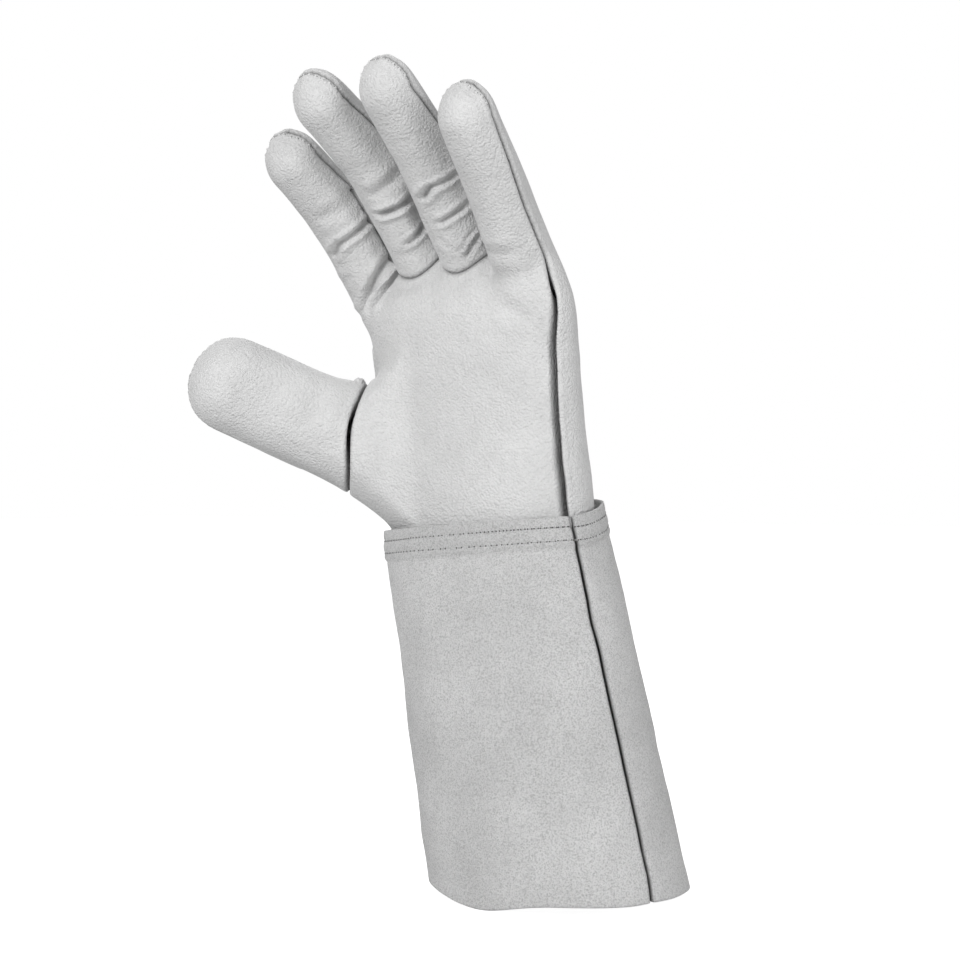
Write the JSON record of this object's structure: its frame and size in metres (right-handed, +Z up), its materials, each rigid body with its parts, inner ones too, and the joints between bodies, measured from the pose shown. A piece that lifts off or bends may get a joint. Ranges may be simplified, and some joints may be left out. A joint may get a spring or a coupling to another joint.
{
  "type": "welding glove",
  "caption": "Left-hand leather welding glove with curled fingers, a set-in thumb and a long gauntlet cuff sewn over the wrist with two stitched rows.",
  "frame": {"origin": "centre of the cuff's hem, in the plane the glove stands on", "axes": "+Z up towards the fingertips, -Y the way the palm faces, -X the thumb side"},
  "size_m": [0.191, 0.118, 0.3283],
  "materials": {
    "grain_leather": "smooth matt grain leather with fine folds",
    "split_leather": "napped split leather",
    "thread": "matt aramid sewing thread"
  },
  "bodies": {
    "cuff": {"cuff_front": "split_leather", "cuff_back": "split_leather", "cuff_upper_stitching": "thread", "cuff_lower_stitching": "thread"},
    "hand": {"palm": "grain_leather", "hand_back": "grain_leather", "thumb_seam_roll": "grain_leather"},
    "index": {"index_front": "grain_leather", "index_back": "grain_leather", "index_tip_stitching": "thread", "index_little_side_strip": "grain_leather"},
    "middle": {"middle_front": "grain_leather", "middle_back": "grain_leather", "middle_tip_stitching": "thread", "middle_thumb_side_strip": "grain_leather", "middle_little_side_strip": "grain_leather"},
    "ring": {"ring_front": "grain_leather", "ring_back": "grain_leather", "ring_tip_stitching": "thread", "ring_thumb_side_strip": "grain_leather", "ring_little_side_strip": "grain_leather"},
    "little": {"little_front": "grain_leather", "little_back": "grain_leather", "little_tip_stitching": "thread", "little_thumb_side_strip": "grain_leather"},
    "thumb": {"thumb_front": "grain_leather", "thumb_back": "grain_leather", "thumb_tip_stitching": "thread"}
  },
  "joints": [
    {"name": "wrist_flex", "type": "hinge", "parent": "cuff", "child": "hand", "pos_m": [-0.0315, 0, 0.139], "axis": [1, 0, 0], "range_deg": [-10, 18], "stiffness_Nm_per_rad": 2},
    {"name": "index_flex", "type": "hinge", "parent": "hand", "child": "index", "pos_m": [-0.0882, -0.0025, 0.243], "axis": [0.969, 0, 0.247], "range_deg": [-15, 27], "stiffness_Nm_per_rad": 0.3},
    {"name": "middle_flex", "type": "hinge", "parent": "hand", "child": "middle", "pos_m": [-0.0625, -0.0045, 0.253], "axis": [0.9854, 0, 0.1702], "range_deg": [-15, 27], "stiffness_Nm_per_rad": 0.3},
    {"name": "ring_flex", "type": "hinge", "parent": "hand", "child": "ring", "pos_m": [-0.0365, -0.0085, 0.254], "axis": [0.9965, 0, 0.0837], "range_deg": [-15, 27], "stiffness_Nm_per_rad": 0.3},
    {"name": "little_flex", "type": "hinge", "parent": "hand", "child": "little", "pos_m": [-0.0095, -0.0095, 0.249], "axis": [0.9999, 0, -0.014], "range_deg": [-15, 27], "stiffness_Nm_per_rad": 0.3},
    {"name": "thumb_flex", "type": "hinge", "parent": "hand", "child": "thumb", "pos_m": [-0.088, -0.02, 0.179], "axis": [0.2512, 0.2993, 0.9205], "range_deg": [-10, 15], "stiffness_Nm_per_rad": 0.4}
  ]
}
